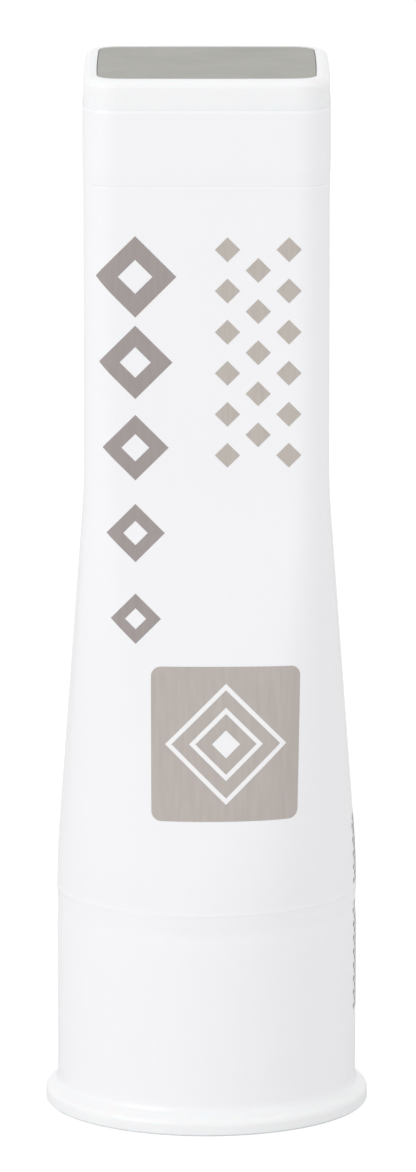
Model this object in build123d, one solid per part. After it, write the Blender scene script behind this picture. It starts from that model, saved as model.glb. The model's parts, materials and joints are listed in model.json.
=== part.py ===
"""Square-to-round glue stick that stands on its cap, in millimetres, +Z up.

The origin is the centre of the ring that the cap stands on. The square knob is at the top and the
mouth that the glue comes out of points down, inside the cap.
"""
from build123d import *
import math
import os

# Heights, from the ground up
cap_height = 20.4
body_height = 67.35
knob_height = 9.65
seam_gap = 0.15

# Outer form, measured over the film
cap_radius = 13.9
waist_half_width = 11.3
knob_overhang = 0.08
corner_radius = 3.2
side_crown_radius = 400.0
flare_height = 40.95

# How the flare runs from the square waist to the round end
flare_sections = 12
flare_blend_share = 0.14
flare_round_power = 2.2
flare_corner_power = 1.55
round_side_angle = 18.0

# Printed film
film_thickness = 0.08
film_gap = 0.02
film_edge_gap = 0.1
film_top_margin = 2.75
film_foot_margin = 1.25

# Cap, with the flange that it stands on
cap_wall = 1.05
cap_floor = 1.4
cap_floor_fillet = 0.6
cap_lead_in = 0.35
foot_recess_depth = 0.6
foot_ring_width = 2.4
flange_reach = 1.1
flange_thickness = 1.6
flange_edge_radius = 0.65
flange_root_radius = 1.4
flange_foot_chamfer = 0.15

# Body shell
shell_wall = 1.2

# Barrel
barrel_wall = 1.0
barrel_corner_radius = 2.0
neck_length = 12.15
neck_side_gap = 1.2
neck_cap_clearance = 1.13
mouth_chamfer = 0.25
collar_thickness = 1.2
collar_clearance = 0.05
bearing_wall = 1.4
bearing_depth = 2.2
barrel_rib_width = 0.9
spigot_length = 7.0
spigot_wall = 0.9
spigot_clearance = 0.25
spigot_chamfer = 0.3
seal_bead_height = 0.13
seal_bead_width = 1.0
seal_bead_drop = 3.6

# Knob
knob_wall = 1.2
knob_top_wall = 1.45
knob_edge_radius = 0.75
knob_foot_chamfer = 0.12
knob_rib_width = 0.9
knob_rib_height = 3.2
skirt_wall = 0.9
skirt_clearance = 0.3
skirt_reach = 1.7
hub_wall = 2.1

# Plate in the knob's top
plate_margin = 1.345
plate_corner_radius = 2.0
plate_thickness = 0.75
plate_sink = 0.06
plate_edge_gap = 0.03
plate_edge_radius = 0.12

# Spindle
head_width = 4.9
head_length = 6.6
head_clearance = 0.05
head_room = 0.8
head_chamfer = 0.4
shoulder_radius = 6.0
shoulder_thickness = 1.3
shoulder_clearance = 0.15
journal_radius = 3.8
journal_clearance = 0.08
snap_bead_height = 0.45
snap_bead_length = 1.7
spindle_tip_height = 15.5
tip_chamfer = 0.6

# Lead thread
thread_radius = 3.2
thread_depth = 1.0
thread_root_width = 2.2
thread_crest_width = 1.1
thread_lead = 5.0
thread_root_embed = 0.25
thread_end_gap = 1.2

# Carrier
carrier_clearance = 0.2
carrier_floor = 1.2
dish_wall = 0.8
dish_depth = 4.5
nut_height = 6.0
nut_wall = 1.6
nut_clearance = 0.2
nut_rib_width = 0.8
nut_rib_height = 3.0

# Glue
glue_corner_radius = 0.9
glue_length = 26.0
glue_mouth_gap = 0.8
glue_face_radius = 0.5
glue_clearance = 0.2
glue_bore_clearance = 0.3

# All cutting tools run this far past what they cut
overrun = 1.0

# Heights of the seams and of what sits at them
body_bottom = cap_height + seam_gap
body_top = body_bottom + body_height
flare_top = body_bottom + flare_height
knob_bottom = body_top + seam_gap
knob_top = knob_bottom + knob_height
cap_inner_floor = foot_recess_depth + cap_floor
mouth_height = body_bottom - neck_length
bearing_top = body_top - bearing_depth
bearing_bottom = bearing_top - bearing_wall
shoulder_bottom = bearing_top + shoulder_clearance
shoulder_top = shoulder_bottom + shoulder_thickness
plate_seat = knob_top - plate_sink - plate_thickness
knob_ceiling = plate_seat - knob_top_wall

# Heights of the snap bead, the thread, the glue and its carrier, as the stick stands
bead_top = bearing_bottom - shoulder_clearance
bead_bottom = bead_top - snap_bead_length
thread_bottom = spindle_tip_height + thread_end_gap + thread_root_width / 2
thread_top = bead_bottom - snap_bead_height - thread_end_gap - thread_root_width / 2
glue_face_height = mouth_height + glue_mouth_gap
carrier_floor_height = glue_face_height + glue_length
nut_bottom = carrier_floor_height + carrier_floor
nut_top = nut_bottom + nut_height

# Radii and widths that follow from the fits
film_depth = film_thickness + film_gap
cap_shell_radius = cap_radius - film_depth
cap_inner_radius = cap_shell_radius - cap_wall
foot_radius = cap_radius + flange_reach
shell_inset = film_depth + shell_wall
shell_inner_radius = cap_radius - shell_inset
shell_inner_half_width = waist_half_width - shell_inset
knob_half_width = waist_half_width + knob_overhang
plate_half_width = knob_half_width - plate_margin
spigot_radius = cap_inner_radius - spigot_clearance
neck_reach = cap_inner_radius - neck_cap_clearance
neck_in_cap = (neck_reach + (math.sqrt(2) - 1) * barrel_corner_radius) / math.sqrt(2)
neck_in_waist = shell_inner_half_width - neck_side_gap
neck_half_width = min(neck_in_cap, neck_in_waist)
bore_half_width = neck_half_width - barrel_wall
bore_corner_radius = glue_corner_radius + glue_clearance
glue_half_width = bore_half_width - glue_clearance
carrier_half_width = bore_half_width - carrier_clearance
carrier_corner_radius = bore_corner_radius - carrier_clearance
dish_half_width = carrier_half_width - dish_wall
skirt_radius = shell_inner_half_width - skirt_clearance
socket_width = head_width + 2 * head_clearance
hub_radius = socket_width / 2 + hub_wall
journal_hole_radius = journal_radius + journal_clearance
root_radius = thread_radius - thread_depth
nut_thread_radius = thread_radius + nut_clearance
nut_root_radius = root_radius + nut_clearance
nut_radius = nut_thread_radius + nut_wall
glue_bore_radius = thread_radius + glue_bore_clearance

standing = (Align.CENTER, Align.CENTER, Align.MIN)


def side_angle(half_width, side_radius, corner):
    """Half the angle of a side's arc in degrees, where it meets the corner's arc without a kink."""
    if math.isclose(side_radius, corner):
        return round_side_angle
    share = (side_radius - half_width) / (side_radius - corner)
    return math.degrees(math.acos(share / math.sqrt(2))) - 45


def soft_square(half_width, side_radius, corner, height, inset=0.0):
    """A square face with crowned sides and round corners, moved in by inset, at a height."""
    angle = side_angle(half_width, side_radius, corner)
    side_centre = half_width - side_radius
    corner_centre = (side_radius - corner) * math.sin(math.radians(angle))
    edges = []
    for quarter in range(4):
        side = CenterArc((side_centre, 0), side_radius - inset, -angle, 2 * angle)
        bend = CenterArc((corner_centre, corner_centre), corner - inset, angle, 90 - 2 * angle)
        edges.append(side.rotate(Axis.Z, 90 * quarter))
        edges.append(bend.rotate(Axis.Z, 90 * quarter))
    return Pos(0, 0, height) * make_face(Wire(edges))


def flare_share(share):
    """Share of the widening done at a share of the flare's height: a slope with a soft start and end."""
    blend = flare_blend_share
    if share < blend:
        return share ** 2 / (2 * blend * (1 - blend))
    if share > 1 - blend:
        return 1 - (1 - share) ** 2 / (2 * blend * (1 - blend))
    return (share - blend / 2) / (1 - blend)


def flare_section(share, inset):
    """The body's cross-section at a share of the flare, from the square waist (0) to the round end (1)."""
    half_width = waist_half_width + (cap_radius - waist_half_width) * flare_share(share)
    crown = 1 / side_crown_radius
    curvature = crown + (1 / cap_radius - crown) * share ** flare_round_power
    corner = corner_radius + (cap_radius - corner_radius) * share ** flare_corner_power
    return soft_square(half_width, 1 / curvature, corner, flare_top - share * flare_height, inset)


def body_form(inset, run_on=0.0):
    """The whole outer form of the body moved in by inset, run on past its two ends."""
    sections = [flare_section(index / flare_sections, inset) for index in range(flare_sections + 1)]
    form = loft(sections) + extrude(sections[0], amount=body_top - flare_top + run_on)
    if run_on:
        form += post(cap_radius - inset, body_bottom - run_on, body_bottom)
    return form


def knob_form(inset, bottom, top):
    """The knob's outer form moved in by inset, between two heights."""
    base = soft_square(knob_half_width, side_crown_radius, corner_radius, bottom, inset)
    return extrude(base, amount=top - bottom)


def post(radius, bottom, top):
    """An upright cylinder between two heights."""
    return Pos(0, 0, bottom) * Cylinder(radius, top - bottom, align=standing)


def square_post(half_width, corner, bottom, top):
    """An upright square bar with round corners between two heights."""
    outline = RectangleRounded(2 * half_width, 2 * half_width, corner)
    return Pos(0, 0, bottom) * extrude(outline, amount=top - bottom)


def rib(length, width, bottom, top, turn):
    """An upright rib through the axis, turned about Z, between two heights."""
    return Pos(0, 0, bottom) * Rot(0, 0, turn) * Box(length, width, top - bottom, align=standing)


def turned(lines):
    """A solid turned about Z from the lines of an outline drawn as (radius, height)."""
    return revolve(Plane.XZ * make_face(Curve() + lines), Axis.Z)


def lead_thread(crest_radius, core_radius, widening, bottom, top):
    """The left-hand thread's ridge between two heights, widened at its flanks for a nut's clearance.

    Its flanks run straight on into the core, so that no edge of the ridge lies on the core's surface.
    """
    flank_slope = (thread_root_width - thread_crest_width) / 2 / thread_depth
    buried_radius = core_radius - thread_root_embed
    half_crest = thread_crest_width / 2 + widening
    half_buried = half_crest + flank_slope * (crest_radius - buried_radius)
    outline = Polyline(
        (buried_radius, 0, -half_buried),
        (crest_radius, 0, -half_crest),
        (crest_radius, 0, half_crest),
        (buried_radius, 0, half_buried),
        close=True,
    )
    path = Helix(pitch=thread_lead, height=top - bottom, radius=core_radius, lefthand=True)
    return Pos(0, 0, bottom) * sweep(make_face(outline), path=path, is_frenet=True)


def make_cap_shell():
    """The cap: a round cup on a rolled flange, with a raised ring underneath that it stands on."""
    edge_centre = (foot_radius - flange_edge_radius, flange_thickness - flange_edge_radius)
    root_centre_radius = cap_shell_radius + flange_root_radius
    reach = root_centre_radius - edge_centre[0]
    rise = math.sqrt((flange_edge_radius + flange_root_radius) ** 2 - reach ** 2)
    root_centre = (root_centre_radius, edge_centre[1] + rise)
    roll = math.degrees(math.atan2(rise, reach))
    cap = turned([
        CenterArc(edge_centre, flange_edge_radius, 0, roll),
        CenterArc(root_centre, flange_root_radius, 180, roll),
        Polyline(
            (cap_shell_radius, root_centre[1]),
            (cap_shell_radius, cap_height),
            (0, cap_height),
            (0, 0),
            (foot_radius - flange_foot_chamfer, 0),
            (foot_radius, flange_foot_chamfer),
            (foot_radius, edge_centre[1]),
        ),
    ])
    cavity = post(cap_inner_radius, cap_inner_floor, cap_height + overrun)
    cavity = fillet(cavity.edges().group_by(Axis.Z)[0], cap_floor_fillet)
    lead_in = Cone(cap_inner_radius, cap_inner_radius + cap_lead_in, cap_lead_in, align=standing)
    foot_recess = post(foot_radius - foot_ring_width, -overrun, foot_recess_depth)
    return cap - cavity - Pos(0, 0, cap_height - cap_lead_in) * lead_in - foot_recess


def make_body_shell():
    """The outer body: square at the knob, round at the cap, open at both ends."""
    return body_form(film_depth) - body_form(shell_inset, overrun)


def make_barrel():
    """The inner tube: square mouth, round collar and spigot for the cap, bearing wall at the knob."""
    spigot_bottom = body_bottom - spigot_length
    spigot_inside = spigot_radius - spigot_wall
    bead_height = body_bottom - seal_bead_drop
    spigot = turned([Polyline(
        (spigot_inside, body_bottom + collar_thickness),
        (spigot_inside, spigot_bottom),
        (spigot_radius - spigot_chamfer, spigot_bottom),
        (spigot_radius, spigot_bottom + spigot_chamfer),
        (spigot_radius, bead_height - seal_bead_width / 2),
        (spigot_radius + seal_bead_height, bead_height),
        (spigot_radius, bead_height + seal_bead_width / 2),
        (spigot_radius, body_bottom + collar_thickness),
        close=True,
    )])
    bearing_plate = extrude(
        soft_square(waist_half_width, side_crown_radius, corner_radius, bearing_bottom,
                    shell_inset + collar_clearance),
        amount=bearing_wall,
    )
    collar_top = body_bottom + collar_thickness
    barrel = square_post(neck_half_width, barrel_corner_radius, mouth_height, bearing_top)
    barrel += post(shell_inner_radius - collar_clearance, body_bottom, collar_top)
    barrel += spigot + bearing_plate
    rib_length = 2 * (shell_inner_half_width - skirt_clearance)
    for turn in (0, 90):
        barrel += rib(rib_length, barrel_rib_width, collar_top, bearing_bottom, turn)
    barrel -= square_post(bore_half_width, bore_corner_radius, mouth_height - overrun, bearing_bottom)
    barrel -= post(journal_hole_radius, bearing_bottom - overrun, bearing_top + overrun)
    mouth = barrel.faces().sort_by(Axis.Z)[0]
    return chamfer(mouth.inner_wires().edges(), mouth_chamfer)


def make_knob():
    """The turning knob: a square cover with a round skirt inside, a hub for the spindle and ribs."""
    knob = knob_form(film_depth, knob_bottom, knob_top)
    knob = fillet(knob.edges().group_by(Axis.Z)[-1], knob_edge_radius)
    knob = chamfer(knob.edges().group_by(Axis.Z)[0], knob_foot_chamfer)
    knob -= knob_form(film_depth + knob_wall, knob_bottom - overrun, knob_ceiling)
    recess = soft_square(plate_half_width, side_crown_radius, plate_corner_radius, plate_seat, -plate_edge_gap)
    knob -= extrude(recess, amount=knob_top - plate_seat + overrun)
    skirt_bottom = body_top - skirt_reach
    skirt = post(skirt_radius, skirt_bottom, plate_seat)
    skirt -= post(skirt_radius - skirt_wall, skirt_bottom - overrun, knob_ceiling)
    hub = post(hub_radius, shoulder_top, plate_seat)
    knob += skirt + hub
    rib_length = 2 * (knob_half_width - film_depth - knob_wall / 2)
    for turn in (0, 90):
        knob += rib(rib_length, knob_rib_width, knob_ceiling - knob_rib_height, knob_ceiling, turn)
    socket_height = overrun + head_length + head_room
    socket = Box(socket_width, socket_width, socket_height, align=standing)
    return knob - Pos(0, 0, shoulder_top - overrun) * socket


def make_knob_plate():
    """The grey square plate let into the knob's top."""
    outline = soft_square(plate_half_width, side_crown_radius, plate_corner_radius, plate_seat)
    plate = extrude(outline, amount=plate_thickness)
    return fillet(plate.edges().group_by(Axis.Z)[-1], plate_edge_radius)


def make_spindle():
    """The lead screw: square head, shoulder, journal and snap bead in the bearing wall, left-hand thread."""
    bead_radius = journal_radius + snap_bead_height
    shaft = turned([Polyline(
        (0, spindle_tip_height),
        (root_radius - tip_chamfer, spindle_tip_height),
        (root_radius, spindle_tip_height + tip_chamfer),
        (root_radius, bead_bottom - snap_bead_height),
        (journal_radius, bead_bottom),
        (bead_radius, bead_top - snap_bead_height),
        (bead_radius, bead_top),
        (journal_radius, bead_top),
        (journal_radius, shoulder_bottom),
        (shoulder_radius, shoulder_bottom),
        (shoulder_radius, shoulder_top),
        (0, shoulder_top),
        close=True,
    )])
    head = Box(head_width, head_width, head_length, align=standing)
    head = chamfer(head.edges().group_by(Axis.Z)[-1], head_chamfer)
    thread = lead_thread(thread_radius, root_radius, 0, thread_bottom, thread_top)
    return shaft + Pos(0, 0, shoulder_top) * head + thread


def make_carrier():
    """The square dish that holds the glue, with a round nut on its back for the lead screw."""
    dish_bottom = carrier_floor_height - dish_depth
    turns_below = math.floor((dish_bottom - thread_root_width - thread_bottom) / thread_lead)
    turns_inside = math.ceil((nut_top + thread_root_width - thread_bottom) / thread_lead)
    groove_bottom = thread_bottom + turns_below * thread_lead
    groove_top = thread_bottom + turns_inside * thread_lead
    carrier = square_post(carrier_half_width, carrier_corner_radius, dish_bottom, nut_bottom)
    carrier += post(nut_radius, nut_bottom, nut_top)
    for turn in (45, 135):
        carrier += rib(2 * carrier_half_width, nut_rib_width, nut_bottom, nut_bottom + nut_rib_height, turn)
    carrier -= lead_thread(nut_thread_radius, nut_root_radius, nut_clearance, groove_bottom, groove_top)
    carrier -= post(nut_root_radius, dish_bottom - overrun, nut_top + overrun)
    dish = square_post(dish_half_width, carrier_corner_radius, dish_bottom - overrun, carrier_floor_height)
    return carrier - dish


def make_glue_block():
    """The bar of glue: as wide as the mouth, narrower in the carrier's dish, with the spindle's bore."""
    dish_bottom = carrier_floor_height - dish_depth
    block = square_post(glue_half_width, glue_corner_radius, glue_face_height, dish_bottom)
    block = fillet(block.edges().group_by(Axis.Z)[0], glue_face_radius)
    block += square_post(dish_half_width, carrier_corner_radius, dish_bottom, carrier_floor_height)
    return block - post(glue_bore_radius, glue_face_height - overrun, carrier_floor_height + overrun)


def make_film_knob():
    """The film round the knob, which stops below the knob's top edge."""
    bottom = knob_bottom + film_edge_gap
    top = knob_top - film_top_margin
    return knob_form(0, bottom, top) - knob_form(film_thickness, bottom - overrun, top + overrun)


def make_film_body():
    """The film round the body, trimmed just short of both seams."""
    sleeve = body_form(0) - body_form(film_thickness, overrun)
    reach = 4 * cap_radius
    kept = Box(reach, reach, body_height - 2 * film_edge_gap, align=standing)
    return sleeve & Pos(0, 0, body_bottom + film_edge_gap) * kept


def make_film_cap():
    """The film round the cap, from above the flange to the seam."""
    bottom = flange_thickness + film_foot_margin
    top = cap_height - film_edge_gap
    return post(cap_radius, bottom, top) - post(cap_radius - film_thickness, bottom - overrun, top + overrun)


pieces = {
    "cap_shell": make_cap_shell,
    "body_shell": make_body_shell,
    "barrel": make_barrel,
    "knob": make_knob,
    "knob_plate": make_knob_plate,
    "spindle": make_spindle,
    "carrier": make_carrier,
    "glue_block": make_glue_block,
    "film_knob": make_film_knob,
    "film_body": make_film_body,
    "film_cap": make_film_cap,
}

os.makedirs("parts", exist_ok=True)
for name, make in pieces.items():
    piece = make()
    export_step(piece, f"parts/{name}.step")
    print(name, round(piece.volume, 1), "mm3")
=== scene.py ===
"""Looks of a twist-up glue stick that stands on its cap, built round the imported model.

Lengths are in metres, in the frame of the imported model: +Z up, the printed front faces -Y. The rigid
mouldings come from the frame and get their finish here. The three films, their overlap at the back and
the print on them are built here, as a sleeve that is shrunk over the stick would lie.
"""
import json
import logging
import math
from dataclasses import dataclass, field
from enum import Enum
from functools import partial
from typing import Any, Callable, Sequence

import bmesh
import bpy
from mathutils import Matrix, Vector

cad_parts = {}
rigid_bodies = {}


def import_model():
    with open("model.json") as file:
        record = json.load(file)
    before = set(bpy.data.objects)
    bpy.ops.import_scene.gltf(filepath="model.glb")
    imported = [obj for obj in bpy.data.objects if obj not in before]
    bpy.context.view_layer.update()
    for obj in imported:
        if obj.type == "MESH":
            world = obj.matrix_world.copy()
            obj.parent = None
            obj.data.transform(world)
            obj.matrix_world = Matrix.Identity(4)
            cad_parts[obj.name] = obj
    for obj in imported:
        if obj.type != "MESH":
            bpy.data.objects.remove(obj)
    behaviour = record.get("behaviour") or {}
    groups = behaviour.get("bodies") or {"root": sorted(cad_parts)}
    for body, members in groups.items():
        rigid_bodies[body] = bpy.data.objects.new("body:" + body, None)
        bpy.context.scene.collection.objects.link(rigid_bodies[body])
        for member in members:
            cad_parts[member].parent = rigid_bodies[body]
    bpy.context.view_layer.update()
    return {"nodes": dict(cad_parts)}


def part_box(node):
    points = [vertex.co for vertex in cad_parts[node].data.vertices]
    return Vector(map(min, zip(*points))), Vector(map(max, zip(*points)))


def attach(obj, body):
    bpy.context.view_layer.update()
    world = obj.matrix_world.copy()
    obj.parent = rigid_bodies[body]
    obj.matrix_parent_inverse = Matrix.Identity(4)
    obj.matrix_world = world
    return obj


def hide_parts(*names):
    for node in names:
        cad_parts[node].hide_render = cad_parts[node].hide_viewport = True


log = logging.getLogger("glue_stick")

MM = 0.001
WHITE = (1.0, 1.0, 1.0, 1.0)

# Points nearer to each other than this count as one
JOIN_DISTANCE = 0.0005 * MM

# Blender's noise runs from 0 to 1 and keeps mostly to the middle of that range
NOISE_LOW = 0.3
NOISE_MIDDLE = 0.5
NOISE_HIGH = 0.7
NOISE_GAIN = 4.0

# What the skin reads of a station, in the order in which its tree takes the values
STATION_KEYS = ("half_width", "side_radius", "corner_radius", "side_angle", "lift", "wobble")

# Corners of a rectangle, as the signs of X and Y, counter-clockwise
CORNER_SIGNS = ((1, 1), (-1, 1), (-1, -1), (1, -1))
QUARTERS = 4

Loop = list[tuple[float, float]]


def linear(hex_colour: str) -> tuple[float, float, float, float]:
    """Turns an sRGB hex colour into linear RGBA, by the formula of that standard.

    Args:
        hex_colour: Six hex digits after a hash.

    Returns:
        Linear red, green, blue and an alpha of one.
    """
    parts = [int(hex_colour[i:i + 2], 16) / 255 for i in (1, 3, 5)]
    red, green, blue = (p / 12.92 if p <= 0.04045 else ((p + 0.055) / 1.055) ** 2.4 for p in parts)
    return red, green, blue, 1.0


def add_node(tree: bpy.types.NodeTree, kind: str, inputs: dict[Any, Any] | None = None,
             **settings: Any) -> bpy.types.Node:
    """Adds a node with its settings, and fills or links its inputs.

    Args:
        tree: The node tree to add to.
        kind: Blender's name for the node type.
        inputs: Values, or output sockets to link from, by input name or number.
        **settings: Attributes of the node.

    Returns:
        The new node.
    """
    node = tree.nodes.new(kind)
    for name, value in settings.items():
        setattr(node, name, value)
    for key, value in (inputs or {}).items():
        if isinstance(value, bpy.types.NodeSocket):
            tree.links.new(value, node.inputs[key])
        else:
            node.inputs[key].default_value = value
    return node


def output_of(tree: bpy.types.NodeTree, kind: str, inputs: dict[Any, Any] | None = None,
              **settings: Any) -> bpy.types.NodeSocket:
    """Adds a node in the same way, and gives its first output."""
    return add_node(tree, kind, inputs, **settings).outputs[0]


def emptied_tree(owner: bpy.types.Material | bpy.types.World) -> bpy.types.NodeTree:
    """Gives a material or a world a node tree without nodes.

    Args:
        owner: The material or world.

    Returns:
        Its empty node tree.
    """
    owner.use_nodes = True
    owner.node_tree.nodes.clear()
    return owner.node_tree


def add_object(name: str, data: bpy.types.ID) -> bpy.types.Object:
    """Makes an object of a mesh, a lamp or a camera, and links it to the scene.

    Args:
        name: Name of the object.
        data: What it shows.

    Returns:
        The new object, at the origin.
    """
    made = bpy.data.objects.new(name, data)
    bpy.context.scene.collection.objects.link(made)
    return made


def as_plain_mesh(source: bpy.types.Object, name: str) -> bpy.types.Object:
    """Turns an object with modifiers into a plain mesh, and removes the object that it came from.

    Args:
        source: The object with modifiers.
        name: Name of the new object.

    Returns:
        A new object without modifiers, at the origin.
    """
    bpy.context.view_layer.update()
    graph = bpy.context.evaluated_depsgraph_get()
    made = bpy.data.meshes.new_from_object(source.evaluated_get(graph), depsgraph=graph)
    made.name = name
    bpy.data.objects.remove(source)
    return add_object(name, made)


def faces_out(piece: bpy.types.Object) -> None:
    """Turns the faces of a closed mesh outwards.

    Args:
        piece: An object whose mesh is closed.
    """
    work = bmesh.new()
    work.from_mesh(piece.data)
    bmesh.ops.recalc_face_normals(work, faces=work.faces)
    work.to_mesh(piece.data)
    work.free()


class Ink(Enum):
    """Colours of the printed marks."""

    DARK = "#A29997"
    TAUPE = "#BFB7B0"
    PANEL = "#BBB3AE"
    SMALL = "#6E6662"


class Body(Enum):
    """Bodies of the frame that carry film and print."""

    CAP = "cap"
    BODY = "body"
    KNOB = "knob"


@dataclass(frozen=True)
class PlasticFinish:
    """A finish of plastic, film, glue or ink: a colour with slight drift, and a fine grain."""

    name: str
    colour: str
    drift: float = 0.02
    drift_size: float = 9 * MM
    roughness: float = 0.35
    roughness_drift: float = 0.0
    ior: float = 1.49
    grain_size: float = 0.25 * MM
    grain_depth: float = 0.004 * MM
    wave_size: float = 6 * MM
    wave_depth: float = 0.004 * MM
    stretch: tuple[float, float, float] = (1.0, 1.0, 1.0)
    subsurface: float = 0.0
    subsurface_reach: float = 1.5 * MM
    metallic: float = 0.0
    drift_detail: float = 3.0
    fine_detail: float = 2.0

    @staticmethod
    def _straying(tree: bpy.types.NodeTree, noise: bpy.types.NodeSocket, middle: float,
                  reach: float) -> bpy.types.NodeSocket:
        """A value that strays from its middle by about a reach, as a noise does."""
        return output_of(tree, "ShaderNodeMapRange", {
            "Value": noise, "From Min": NOISE_LOW, "From Max": NOISE_HIGH,
            "To Min": middle - reach, "To Max": middle + reach}, clamp=False)

    def build(self) -> bpy.types.Material:
        """Builds the material.

        Returns:
            A procedural material on object coordinates.
        """
        material = bpy.data.materials.new(self.name)
        tree = emptied_tree(material)
        place = add_node(tree, "ShaderNodeTexCoord").outputs["Object"]
        stretched = output_of(tree, "ShaderNodeMapping", {"Vector": place, "Scale": self.stretch},
                              vector_type="POINT")
        drift, wave, grain = (
            output_of(tree, "ShaderNodeTexNoise", {"Vector": stretched, "Scale": 1 / size, "Detail": detail})
            for size, detail in ((self.drift_size, self.drift_detail), (self.wave_size, self.fine_detail),
                                 (self.grain_size, self.fine_detail)))
        tone = self._straying(tree, drift, 1.0, self.drift)
        shaded = output_of(tree, "ShaderNodeVectorMath", {0: linear(self.colour)[:3], "Scale": tone},
                           operation="SCALE")
        gloss: Any = self.roughness
        if self.roughness_drift:
            gloss = self._straying(tree, wave, self.roughness, self.roughness_drift)
        swell = output_of(tree, "ShaderNodeBump", {
            "Height": wave, "Distance": self.wave_depth, "Strength": 1.0})
        bump = output_of(tree, "ShaderNodeBump", {
            "Height": grain, "Distance": self.grain_depth, "Strength": 1.0, "Normal": swell})
        surface = output_of(tree, "ShaderNodeBsdfPrincipled", {
            "Base Color": shaded, "Roughness": gloss, "IOR": self.ior, "Metallic": self.metallic,
            "Normal": bump, "Subsurface Weight": self.subsurface,
            "Subsurface Scale": self.subsurface_reach})
        add_node(tree, "ShaderNodeOutputMaterial", {"Surface": surface})
        return material


class Finishes:
    """Every finish on the stick, built once and shared."""

    def __init__(self) -> None:
        """Builds the materials."""
        # Injection-moulded polypropylene, white: a soft gloss that is a little milky at the edges
        self.moulded_white = PlasticFinish(
            "moulded_white_polypropylene", "#F6F6F7", drift=0.004, roughness=0.34, subsurface=0.12,
            grain_depth=0.0015 * MM, wave_depth=0.003 * MM).build()
        # The same plastic without pigment: milky and slightly cool, for the pieces inside
        self.natural = PlasticFinish(
            "natural_polypropylene", "#E6EAEA", drift=0.01, roughness=0.42, subsurface=0.45,
            subsurface_reach=2.5 * MM, grain_depth=0.002 * MM).build()
        # Satin-moulded screw and carrier, with the duller grain of an eroded mould
        self.screw = PlasticFinish(
            "satin_moulded_screw_plastic", "#E3E5E6", drift=0.012, roughness=0.5, subsurface=0.15,
            grain_size=0.18 * MM, grain_depth=0.005 * MM).build()
        # Grey ABS with a spark-eroded grain: a calm satin sheen without sharp reflections
        self.plate = PlasticFinish(
            "spark_eroded_grey_abs", "#9A9992", drift=0.035, drift_size=2.2 * MM, roughness=0.46,
            roughness_drift=0.05, ior=1.53, grain_size=0.16 * MM, grain_depth=0.010 * MM,
            wave_size=7 * MM, wave_depth=0.01 * MM).build()
        # Shrink film printed white on its inside: glossy, with faint upright streaks from shrinking
        self.film = PlasticFinish(
            "white_printed_shrink_film", "#F6F6F8", drift=0.003, drift_size=5 * MM, roughness=0.27,
            ior=1.54, grain_size=0.9 * MM, grain_depth=0.0006 * MM,
            wave_size=6 * MM, wave_depth=0.003 * MM, stretch=(1.0, 1.0, 0.3)).build()
        # Stearate glue: waxy, translucent and off-white, wiped smooth at its face
        self.glue = PlasticFinish(
            "cast_stearate_glue", "#EFEDE2", drift=0.012, drift_size=3 * MM, roughness=0.4,
            roughness_drift=0.1, ior=1.44, subsurface=0.7, subsurface_reach=3 * MM,
            grain_size=0.7 * MM, grain_depth=0.02 * MM, wave_size=3 * MM, wave_depth=0.05 * MM).build()
        self.inks = {ink: self._ink(ink) for ink in Ink}

    @staticmethod
    def _ink(ink: Ink) -> bpy.types.Material:
        """Builds a silver-grey gravure ink: upright streaks and a weak metal sheen under the film."""
        return PlasticFinish(
            f"gravure_ink_{ink.name.lower()}", ink.value, drift=0.045, drift_size=0.45 * MM,
            roughness=0.32, ior=1.54, metallic=0.12, grain_size=0.3 * MM,
            grain_depth=0.0005 * MM, wave_size=6 * MM, wave_depth=0.003 * MM,
            stretch=(1.0, 1.0, 0.12)).build()


@dataclass(frozen=True)
class Station:
    """One cross-section of the stick: a square with crowned sides and round corners."""

    height: float
    half_width: float
    side_radius: float
    corner_radius: float
    side_angle: float
    lift: float = 0.0
    wobble: float = 0.0

    @property
    def side_length(self) -> float:
        """Arc length from the middle of a side to the start of its corner."""
        return self.side_radius * self.side_angle

    @property
    def quarter_length(self) -> float:
        """Arc length of a quarter of the outline."""
        return 2 * self.side_length + self.corner_radius * (math.pi / 2 - 2 * self.side_angle)

    def point(self, arc: float, lift: float = 0.0) -> Vector:
        """Finds a point on the outline.

        Args:
            arc: Length along the outline from the middle of the front, positive towards +X.
            lift: Distance out from the outline.

        Returns:
            The point in the row frame.
        """
        quarter = round(arc / self.quarter_length)
        local = arc - quarter * self.quarter_length
        side = math.copysign(1.0, local)
        if abs(local) <= self.side_length:
            angle = abs(local) / self.side_radius
            centre = (self.half_width - self.side_radius, 0.0)
            radius = self.side_radius
        else:
            angle = self.side_angle + (abs(local) - self.side_length) / self.corner_radius
            offset = (self.side_radius - self.corner_radius) * math.sin(self.side_angle)
            centre = (offset, offset)
            radius = self.corner_radius
        radius += self.lift + lift
        outward = centre[0] + radius * math.cos(angle)
        along = side * (centre[1] + radius * math.sin(angle))
        turn = math.radians(-90 + 90 * quarter)
        return Vector((outward * math.cos(turn) - along * math.sin(turn),
                       outward * math.sin(turn) + along * math.cos(turn), self.height))


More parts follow.
